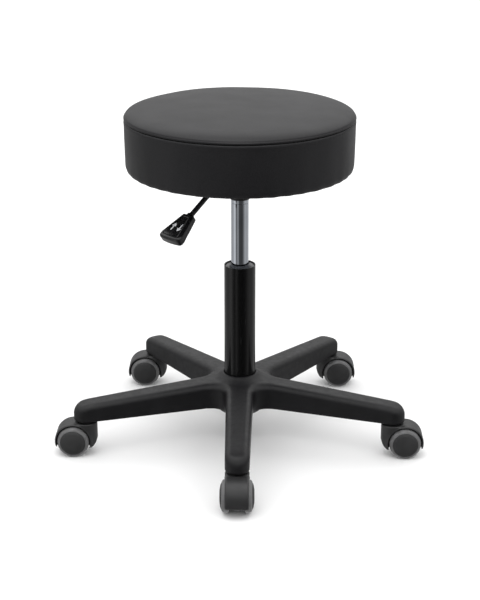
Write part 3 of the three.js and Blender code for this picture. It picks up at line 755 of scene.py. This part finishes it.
def bolts():
    for i in range(4):
        node = f"plate_bolt_{i + 1}"
        low, high = box_mm(node)
        x, y = (low.x + high.x) / 2, (low.y + high.y) / 2
        under_head = low.z + 4.0
        socket = [(0, low.z + 2.6, 0), (2.0, low.z + 2.4, 0.2), (2.2, low.z + 0.1, 0.2)]
        head = [(4.2, low.z, 1.0), (5.5, low.z + 1.8, 0.6), (5.5, under_head, 0.3), (3.0, under_head, 0.2)]
        shank = [(3.0, high.z - 1.2, 0.2), (2.2, high.z, 0.2), (0, high.z, 0)]
        verts, faces = turned(socket + head + shank, 72, 4)
        r = np.hypot(verts[:, 0], verts[:, 1])
        inner = (r > 1.0) & (r < 2.45) & (verts[:, 2] < low.z + 3)
        around = np.arctan2(verts[:, 1], verts[:, 0])
        hexagon = np.cos((around + math.pi / 6) % (math.pi / 3) - math.pi / 6)
        scale = np.where(inner, 1 / np.maximum(hexagon, 0.8), 1)
        verts[:, :2] *= scale[:, None]
        piece(f"seat_bolt_{i + 1}", moved((verts, faces), x, y), ZINC, "carriage", [node])


def socket_ring():
    low, high = low_z("taper_socket"), high_z("taper_socket")
    outer = half_x("taper_socket")
    bore_low, bore_high = 14.3, 13.3
    corners = [(bore_low, low, 0.3), (outer - 0.2, low, 0.7), (outer, low + 3.2, 0.5), (outer, high, 0.4),
               (bore_high, high, 0.3)]
    piece("taper_socket_shell", turned(corners), COATED, "carriage", ["taper_socket"])
    roof = low_z("lever_bracket")
    bead = [(outer - 0.1, roof - 2.6, 0.2), (outer + 2.2, roof - 0.6, 1.4), (outer + 2.2, roof - 0.02, 0.2),
            (outer - 0.1, roof - 0.02, 0.1)]
    ridge, faces = turned(bead, 160, 6)
    around = np.arctan2(ridge[:, 1], ridge[:, 0])
    ridge[:, :2] *= (1 + 0.012 * np.sin(40 * around))[:, None]
    piece("taper_socket_weld", (ridge, faces), COATED, "carriage")


# ---- Lever ----

LEVER_AZIMUTH = 225.0
LEVER_SLOPE = math.radians(34.5)
LEVER_Z = 432.0
LEVER_BEND = 48.0
ROD_R = 4.0
BEND_REACH = 9.0  # from the corner to where the rod's bend starts and ends
ROD_LENGTH = 92.0  # from the corner to the end inside the paddle
PADDLE_START = 69.0
PADDLE_LENGTH = 53.0
WIDENING = 0.8 * PADDLE_LENGTH
ALONG = np.array((math.cos(LEVER_SLOPE), 0, -math.sin(LEVER_SLOPE)))
ABOVE = np.array((math.sin(LEVER_SLOPE), 0, math.cos(LEVER_SLOPE)))
BEND_POINT = np.array((LEVER_BEND, 0, LEVER_Z))
LEVER_TURN = HOME @ Matrix.Rotation(math.radians(LEVER_AZIMUTH), 4, "Z")


def on_slope(x, y, z):
    """Points given outward along the lever's slope, sideways, and above it."""
    return BEND_POINT + np.stack([x, y, z], -1) @ np.array((ALONG, (0, 1, 0), ABOVE))


def lever_rod():
    start, corner = np.array((-8.0, 0, LEVER_Z)), BEND_POINT
    into, out = corner - np.array((BEND_REACH, 0, 0)), corner + BEND_REACH * ALONG
    first = [start + (into - start) * t for t in np.linspace(0, 1, 12)[:-1]]
    last = [out + (corner + ROD_LENGTH * ALONG - out) * t for t in np.linspace(0, 1, 20)[1:]]
    shape = swept(first + curve(into, corner, out, 14) + last, ROD_R, 32)
    verts = shape[0]
    pressed = np.clip(verts[:, 2] - LEVER_Z, -2.6, ROD_R)
    verts[:, 2] = np.where(verts[:, 0] < 4, LEVER_Z + pressed, verts[:, 2])
    piece("lever_bar", shape, COATED, "lever", ["lever_rod"], matrix=LEVER_TURN)


def widened(x):
    """How far the paddle has grown to its full width and thickness, 0 to 1."""
    return np.clip((x - PADDLE_START) / WIDENING, 0, 1)


def paddle_half_thickness(x):
    return 6.0 + 1.5 * widened(x)


def handle_field(x, y, z):
    """The paddle in its own frame: x outward along the slope, y sideways, z above."""
    v = np.abs(y)
    narrow, wide = 11.0, 22.3
    slope = (wide - narrow) / WIDENING
    side = (v - (narrow + (wide - narrow) * widened(x))) / math.hypot(1, slope)
    end_curve = x - (PADDLE_START + PADDLE_LENGTH) + 1.8 * (v / wide) ** 2
    plan = round_max(round_max(side, end_curve, 5.0), PADDLE_START - x, 2.0)
    thick = paddle_half_thickness(x)
    top, bottom = z - thick, -z - thick
    chamfer = (plan + top + 2.6) * math.sqrt(0.5)
    body = smooth_max(smooth_max(plan, top, 0.8), chamfer, 0.9)
    chamfer_low = (plan + bottom + 2.0) * math.sqrt(0.5)
    body = smooth_max(smooth_max(body, bottom, 1.0), chamfer_low, 1.0)
    dish = round_max(plan + 6.5, -(z - thick + 0.5), 0.3)
    body = smooth_max(body, -dish, 0.5)
    grip = np.hypot((x - (PADDLE_START + 0.62 * PADDLE_LENGTH)) / 1.6, z + thick + 9.0) - 10.4
    body = smooth_max(body, -grip, 1.2)
    hole = np.maximum(np.hypot(y, z) - (ROD_R + 0.3), x - (PADDLE_START + 24.5))
    collar = np.maximum(np.hypot(y, z) - 6.0, np.abs(x - PADDLE_START) - 2.5)
    return smooth_max(smooth_min(body, collar, 1.5), -hole, 0.4)


def lever_handle():
    step = (0.6, 0.6, 0.5) if FINE else (1.0, 1.0, 0.8)
    verts, faces = net(handle_field, (63, -26, -11), (126, 26, 11), step)
    shape = on_slope(*verts.T), faces
    piece("lever_paddle", shape, GLOSS, "lever", ["lever_handle"], 50, LEVER_TURN)


def symbol():
    """Two plain arrows, one each way along the slope: a thin print on the paddle's top."""
    tail, barb, half_shaft, half_head = 7.5, 1.0, 1.2, 4.6
    outline = [(-tail, -half_shaft), (barb, -half_shaft), (barb, -half_head), (tail, 0.0), (barb, half_head),
               (barb, half_shaft), (-tail, half_shaft)]
    centre, across, print_height, sunk = 98.0, 6.8, 0.14, 0.56
    n = len(outline)
    faces = [list(range(n))[::-1], list(range(n, 2 * n))]
    faces += [(i, (i + 1) % n, (i + 1) % n + n, i + n) for i in range(n)]
    arrows = []
    for way in (1, -1):
        low = np.array([(centre + way * x, way * (across + y), 0.0) for x, y in outline])
        arrows.append((np.concatenate([low, low + np.array((0, 0, print_height))]), faces))
    verts, faces = joined(*arrows)
    x, y, z = verts.T
    world = on_slope(x, y, paddle_half_thickness(x) - sunk + z)
    piece("lever_symbol", (world, faces), PRINT, "lever", matrix=LEVER_TURN)


def along_lever(shape):
    """Lays a shape that was made round Z along the lever, its heights becoming distances outward."""
    verts = np.asarray(shape[0])
    return np.stack([verts[:, 2], verts[:, 1], LEVER_Z - verts[:, 0]], 1), shape[1]


def lever_fittings():
    bush = [(4.6, 22.5, 0.4), (6.0, 22.5, 0.5), (6.0, 26.3, 0.2), (8.0, 26.3, 0.3), (8.0, 27.5, 0.5),
            (4.6, 27.5, 0.5)]
    piece("lever_bush_ring", along_lever(turned(bush, 64)), WHITE_NYLON, "carriage",
          ["lever_bush"], matrix=LEVER_TURN)
    clip = [(4.3, 29.5, 0.2), (7.0, 29.5, 0.3), (7.0, 30.5, 0.3), (4.3, 30.5, 0.2)]
    verts, faces = turned(clip, 72)
    around = np.arctan2(verts[:, 1], verts[:, 0])
    r = np.hypot(verts[:, 0], verts[:, 1])
    teeth = 1 + 0.09 * np.clip(np.cos(6 * around), 0, 1) * (r < 5)
    verts[:, :2] *= teeth[:, None]
    piece("lever_star_clip", along_lever((verts, faces)), ZINC, "lever", ["lever_clip"],
          matrix=LEVER_TURN)


# ---- Gas spring and column ----


def column():
    low, high = low_z("gas_cylinder"), high_z("gas_cylinder")
    taper = low_z("taper_socket")
    outer, bore, rod_hole, pin_hole, end_wall = 14.0, 11.5, 5.3, 3.3, (400.0, 405.5)
    groove = [(outer, taper - 5.0, 0.3), (outer - 0.28, taper - 5.3, 0.15), (outer - 0.28, taper - 5.9, 0.15),
              (outer, taper - 6.2, 0.3)]
    outside = [(pin_hole, high, 0.4), (13.0, high, 0.8), (outer, taper, 4), *groove, (outer, low, 1.2)]
    inside = [(rod_hole, low, 0.4), (rod_hole, low + 4, 0.3), (bore, low + 4, 0.5), (bore, end_wall[0], 0.5)]
    well = [(0, end_wall[1], 0), (pin_hole, end_wall[1], 0.3)]
    cylinder = well + outside + inside + [(0, end_wall[0], 0)]
    piece("gas_spring_cylinder", turned(cylinder, 128), CHROME, "carriage", ["gas_cylinder"])
    low, high = low_z("release_button"), high_z("release_button")
    pin = [(0, low, 0), (3, low, 0.4), (3, high - 1, 0.8), (1.6, high, 0.6), (0, high, 0)]
    piece("release_pin", turned(pin, 48), ZINC, "button", ["release_button"])
    low, high = low_z("piston_rod"), high_z("piston_rod")
    rod = [(0, low, 0), (5, low, 0.7), (5, low + 1, 0.1), (4, low + 1, 0.1), (4, low + 3, 0.1),
           (5, low + 3, 0.1), (5, high - 10, 0.1), (11.2, high - 10, 0.6), (11.2, high - 7, 0.3),
           (10.6, high - 6.6, 0.3), (10.6, high - 4, 0.3), (11.2, high - 3.6, 0.3), (11.2, high, 0.6),
           (0, high, 0)]
    piece("gas_spring_rod", turned(rod, 64), CHROME, "spindle", ["piston_rod"])
    low, high = low_z("thrust_bearing"), high_z("thrust_bearing")
    rings = [turned([(5.3, a, 0.2), (12, a, 0.3), (12, b, 0.3), (5.3, b, 0.2)], 72)
             for a, b in ((low, low + 1.1), (high - 1.1, high))]
    ball_r, race_r = 1.42, 8.6
    arc = [(ball_r * math.sin(t), -ball_r * math.cos(t), 0) for t in np.linspace(0, math.pi, 13)]
    balls = [moved(turned(arc, 20), *spot) for spot in polar(race_r, (low + high) / 2, angles(10))]
    cage = turned([(r, low + up, 0.2) for r, up in ((6.6, 1.9), (10.8, 1.9), (10.8, 3.1), (6.6, 3.1))], 72)
    bearing = joined(*rings, *balls, cage)
    piece("thrust_ball_bearing", bearing, ZINC, "spindle", ["thrust_bearing"])
    low, high = low_z("bump_rubber"), high_z("bump_rubber")
    buffer = [(5.3, low, 0.3), (11, low, 1), (11, low + 4, 1.5), (9.4, low + 6, 1.5), (11, low + 8, 1.5),
              (11, high, 1.2), (5.3, high, 0.4)]
    piece("spring_buffer", turned(buffer, 72), RUBBER, "spindle", ["bump_rubber"])
    low, high = low_z("column_tube"), high_z("column_tube")
    hub_top = high_z("star_base")
    tube = [(5.3, low, 0.2), (23.8, low, 1.2), (25, hub_top, 6), (25, high - 0.2, 1.3), (24.0, high, 0.9),
            (23.0, high - 0.9, 0.7), (22.5, low + 3, 1.5), (5.3, low + 3, 0.2)]
    piece("column_outer_tube", turned(tube, 144, 7), PAINT, "base", ["column_tube"])
    low, high = low_z("column_bushing"), high_z("column_bushing")
    mouth = [(21.3, high, 0.4), (17.2, high - 1.9, 3.0), (14.7, high - 6.5, 1.0), (14.3, high - 9, 1.0)]
    bush = [(14.3, low, 0.6), (22.2, low, 0.8), (22.2, high - 0.2, 0.5), *mouth]
    piece("column_guide_sleeve", turned(bush, 144, 7), SLEEVE, "base", ["column_bushing"])


# ---- Five-armed base ----

STEM_R = 256.5  # from the column to each caster's stem
ARM_LOW = 58.0
ARM_END = 18.5  # half the width of an arm at its stem
ARM_ROOT = 21.5
ROOT_R = 56.0
POCKET = 58.0  # length of a pocket under an arm, with a rib of RIB between two
RIB = 3.0
TUBE_R = 25.0
BASE_LOW = low_z("star_base")
BASE_TOP = high_z("star_base")


def arm_half(u):
    return ARM_ROOT + (ARM_END - ARM_ROOT) * np.clip((u - ROOT_R) / (STEM_R - ROOT_R), 0, 1)


def arm_frame(x, y, number):
    a = math.radians(-90 + 72 * number)
    return x * math.cos(a) + y * math.sin(a), -x * math.sin(a) + y * math.cos(a)


def base_plan(x, y):
    """Outline of the whole star from above: arms with round ends, joined by fillets round the hub."""
    out = np.hypot(x, y) - 44
    for number in range(5):
        u, v = arm_frame(x, y, number)
        side = np.abs(v) - arm_half(u)
        arm = np.where(u < STEM_R, side, np.hypot(u - STEM_R, v) - ARM_END)
        out = smooth_min(out, np.maximum(arm, 8 - u), 26)
    return out


def base_height(r):
    """Height of the upper surface at distance r from the column."""
    tip = np.clip((r - 244) / 30.5, 0, 1.15)
    arm = 100 - 0.0656 * (r - ROOT_R) - 6.5 * tip**2.6
    dome = BASE_TOP - 0.4 - 0.86 * (r - 29)
    return np.minimum(smooth_max(arm, dome, 5), BASE_TOP - 0.3)


def base_hollows(x, y, top, z):
    """The ribbed pockets under the arms."""
    pockets = 1e3
    for number in range(5):
        u, v = arm_frame(x, y, number)
        for k in range(3):
            near = 52 + k * (POCKET + RIB)
            edge = np.maximum(np.abs(v) - (arm_half(u) - 4.5), np.maximum(near - u, u - near - POCKET))
            pockets = np.minimum(pockets, edge)
    return smooth_max(pockets, z - (top - 5.0), 2)


def base_field(x, y, z):
    r = np.hypot(x, y)
    top = base_height(r)
    body = round_max(base_plan(x, y), z - top, 9.5)
    body = smooth_max(body, ARM_LOW - z, 2.6)
    lower = smooth_max(r - (35 + 0.45 * (z - BASE_LOW)), np.maximum(BASE_LOW - z, z - 70), 1.5)
    body = smooth_min(body, lower, 1.5)
    body = smooth_max(body, -base_hollows(x, y, top, z), 1.6)
    tube = TUBE_R - 1.2 * (109 - z) / 57 + 0.35
    body = smooth_max(body, -(r - tube), 0.8)
    for number in range(5):
        u, v = arm_frame(x, y, number)
        hole = np.maximum(np.hypot(u - STEM_R, v) - 5.8, z - 80.3)
        body = smooth_max(body, -hole, 0.5)
    return body


def star_base():
    step = (2.0, 2.0, 1.7) if FINE else (3.2, 3.2, 2.6)
    low, high = box_mm("star_base")
    low = [c - 3 for c in low]
    high = [c + 3 for c in high]
    star = net(base_field, low, high, step)
    piece("five_arm_base", star, NYLON, "base", ["star_base"], 55)


# ---- Casters ----

WHEEL_R = 25.0
TRAIL = 19.4  # from the stem back to the axle
HOOD_HALF = 18.3
HOOD_R = 29.5
WELL_R = 27.2  # hollow that each wheel turns in
BOSS_TOP = 54.5
CAP_R = 20.0


def hood_field(x, y, z):
    """A caster's hood with its stem on Z and its wheels trailing along +X."""
    v = np.abs(y)
    around = np.hypot(x - TRAIL, z - WHEEL_R)
    arch = round_max(around - HOOD_R, v - HOOD_HALF, 3.5)
    boss = round_max(np.hypot(x, y) - HOOD_HALF, z - BOSS_TOP, 1.6)
    body = smooth_min(arch, boss, 3)
    ring = round_max(np.abs(np.hypot(x, y) - 11.5) - 2.3, z - BOSS_TOP - 0.5, 0.5)
    body = smooth_min(body, np.maximum(ring, 50 - z), 0.6)
    well = round_max(around - WELL_R, 9.5 - v, 1.0)
    body = smooth_max(body, -well, 1.0)
    boss_in = np.maximum(around - 6.5, v - 11.6)
    body = smooth_min(body, boss_in, 1.5)
    lip = np.interp(x, [-18.0, -16.2, -13.0, -9.5, -6.5, -3.5], [26, 21, 16.8, 14.8, 14.6, 16.5])
    body = smooth_max(body, lip - z, 1.0)
    axle = around - 3.3
    stem = np.maximum(np.hypot(x, y) - 4.3, 33 - z)
    return smooth_max(body, -np.minimum(axle, stem), 0.5)


def caster_meshes():
    """The meshes that all casters share."""
    step = (0.75, 0.75, 0.75) if FINE else (1.3, 1.3, 1.3)
    hood = net(hood_field, (-21, -21, 10), (52, 21, 58), step)
    hub = [(0, 24.4, 0), (3.5, 24.4, 0.2), (3.5, 12.0, 0.3), (6.2, 12.0, 0.5), (6.2, 13.5, 0.5)]
    disc = [(16.5, 14.5, 0.8), (16.5, 12.0, 0.5), (CAP_R, 12.0, 0.4), (CAP_R, 22.7, 0.8)]
    face = [(17.6, 24.2, 1.4), (16.9, 24.1, 0.25), (16.4, 24.6, 0.4), (9, 25.8, 8), (0, 26.0, 0)]
    cap = turned(hub + disc + face, 96)
    inner = [(CAP_R, 12.4, 0.2), (24.2, 12.4, 0.6), (WHEEL_R, 14.2, 1.3)]
    outer = [(WHEEL_R, 18.0, 2.2), (23.3, 21.4, 2.4), (20.5, 22.9, 0.5), (CAP_R, 22.2, 0.2)]
    tread = turned(inner + outer, 96)
    stem = [(0, 34, 0), (4, 34, 0.5), (4, 54.8, 0.2), (9, 54.8, 0.4), (9, 57.7, 0.4), (5.5, 57.7, 0.2),
            (5.5, 74, 0.3), (5.1, 74.4, 0.2), (5.1, 75.6, 0.2), (5.5, 76, 0.3), (5.5, 78, 0.4), (4, 80, 0.5),
            (0, 80, 0)]
    axle = [(0, -23.8, 0), (3, -23.8, 0.5), (3, 23.8, 0.5), (0, 23.8, 0)]
    forms = {
        "hood": shaded("caster_hood_form", hood, HOOD, 50),
        "stem": shaded("caster_stem_form", turned(stem, 48), ZINC),
        "axle": shaded("caster_axle_form", facing_y(turned(axle, 48)), ZINC),
    }
    for side, way in (("left", 1), ("right", -1)):
        forms["cap_" + side] = shaded("caster_cap_" + side, facing_y(cap, way), CAP)
        forms["tread_" + side] = shaded("caster_tread_" + side, facing_y(tread, way), TREAD)
    return forms


def casters():
    forms = caster_meshes()
    for number in range(1, 6):
        name = f"caster_{number}"
        stem, hub = middle(f"{name}_stem"), middle(f"{name}_axle")
        trail = math.atan2(hub.y - stem.y, hub.x - stem.x)
        spot = Matrix.Translation((stem.x, stem.y, 0)) @ Matrix.Rotation(trail, 4, "Z")
        at_axle = spot @ Matrix.Translation((TRAIL * MM, 0, WHEEL_R * MM))
        shown(f"{name}_hood_shell", forms["hood"], name, [f"{name}_hood"], spot)
        shown(f"{name}_stem_pin", forms["stem"], "base", [f"{name}_stem"], spot)
        shown(f"{name}_axle_pin", forms["axle"], name, [f"{name}_axle"], at_axle)
        for side in ("left", "right"):
            wheel = f"wheel_{number}_{side}"
            cap, tread = forms[f"cap_{side}"], forms[f"tread_{side}"]
            shown(f"{name}_cap_{side}", cap, wheel, [f"{name}_wheel_{side}"], at_axle)
            shown(f"{name}_tyre_{side}", tread, wheel, [f"{name}_tread_{side}"], at_axle)


# ---- The stool ----

seat_covers()
seat_inside()
underside()
keep("seat_board", PLY, 0.8)
keep("seat_plate", COATED, 0.5)
keep("lever_bracket", COATED, 0.5)
keep("rod_clip", ZINC, 0.15)
bolts()
socket_ring()
lever_rod()
lever_handle()
symbol()
lever_fittings()
column()
star_base()
casters()

# ---- Floor, light and camera ----

# Brightness of the room by compass angle from the front, in degrees, minus being the stool's left
BANDS = [(-180, 0.8), (-145, 0.5), (-115, 0.36), (-94, 0.38), (-77, 0.6), (-63, 0.68), (-52, 0.3),
         (-42, 0.12), (-34, 0.14), (-25, 0.4), (-16, 0.18), (-6, 0.06), (24, 0.05), (38, 0.07), (50, 0.17),
         (63, 0.33), (77, 0.42), (95, 0.36), (113, 0.42), (150, 0.55), (180, 0.8)]
ROOM_STRENGTH = 1.15
CEILING_STRENGTH = 1.55


def floor():
    made = Finish("floor_paper", (0.9, 0.9, 0.9), 0.9, Specular_IOR_Level=0.0)
    made.spots(0.8, 2, 0.3, 0.7, (0.885, 0.885, 0.885))
    mesh = bpy.data.meshes.new("floor")
    radius, sides = 14.0, 64
    mesh.from_pydata(polar(radius, 0.0, angles(sides)).tolist(), [], [list(range(sides))])
    mesh.materials.append(made.material)
    obj = linked("floor", mesh)
    obj.visible_glossy = False


def studio():
    """A bright backdrop behind and above, darker room in front, as gloss on the stool sees it."""
    world = bpy.data.worlds.new("studio")
    bpy.context.scene.world = world
    world.use_nodes = True
    tree = world.node_tree
    background = tree.nodes["Background"]
    background.inputs["Color"].default_value = (1, 1, 1, 1)
    away = add_node(tree, "SeparateXYZ", {0: add_node(tree, "TexCoord").outputs["Generated"]}).outputs

    def math_node(operation, a, b):
        return add_node(tree, "Math", {0: a, 1: b}, operation=operation).outputs[0]

    def ramp(value, stops):
        made = add_node(tree, "ValToRGB", {0: value})
        made.color_ramp.interpolation = "EASE"
        elements = made.color_ramp.elements
        while len(elements) < len(stops):
            elements.new(0.5)
        for element, (spot, level) in zip(elements, stops):
            element.position = spot
            element.color = (level, level, level, 1)
        return made.outputs[0]

    angle = math_node("ARCTAN2", away["X"], math_node("MULTIPLY", away["Y"], -1.0))
    round_share = math_node("ADD", math_node("DIVIDE", angle, 2 * math.pi), 0.5)
    bands = ramp(round_share, [(a / 360 + 0.5, level) for a, level in BANDS])
    height = math_node("ADD", math_node("MULTIPLY", away["Z"], 0.5), 0.5)
    overhead = ramp(height, [(0.0, 0.0), (0.58, 0.0), (0.68, 0.75), (0.8, 1.0), (1.0, 1.0)])
    upper = ramp(height, [(0.0, 1.0), (0.51, 1.0), (0.58, 0.65), (1.0, 0.65)])
    room = math_node("MULTIPLY", math_node("MULTIPLY", bands, upper), ROOM_STRENGTH)
    ceiling = math_node("MULTIPLY", overhead, CEILING_STRENGTH)
    lit = math_node("MAXIMUM", room, ceiling)
    seen = add_node(tree, "LightPath").outputs["Is Camera Ray"]
    mix = add_node(tree, "Mix", {"Factor": seen, 2: lit, 3: 1.0})
    tree.links.new(mix.outputs[0], background.inputs["Strength"])


def lamp(name, place, size, watts, target=(0.0, 0.0, 0.3)):
    light = bpy.data.lights.new(name, "AREA")
    light.shape, light.size, light.size_y = "RECTANGLE", size[0], size[1]
    light.energy = watts
    obj = linked(name, light)
    obj.location = place
    obj.rotation_mode = "QUATERNION"
    obj.rotation_quaternion = (Vector(target) - Vector(place)).to_track_quat("-Z", "Y")


def camera():
    """The photo's view, as solved from its outlines."""
    data = bpy.data.cameras.new("camera")
    data.sensor_width = 36.0
    data.lens = 89.42
    obj = linked("camera", data)
    obj.location = (0.03458, -2.2368 + AXIS.y, 1.0512)
    obj.rotation_euler = (math.radians(69.87), 0, math.radians(0.88))
    bpy.context.scene.camera = obj


floor()
studio()
lamp("overhead", (-0.3, -0.5, 2.4), (1.8, 1.4), 12)
camera()
bpy.context.scene.view_settings.view_transform = "Standard"
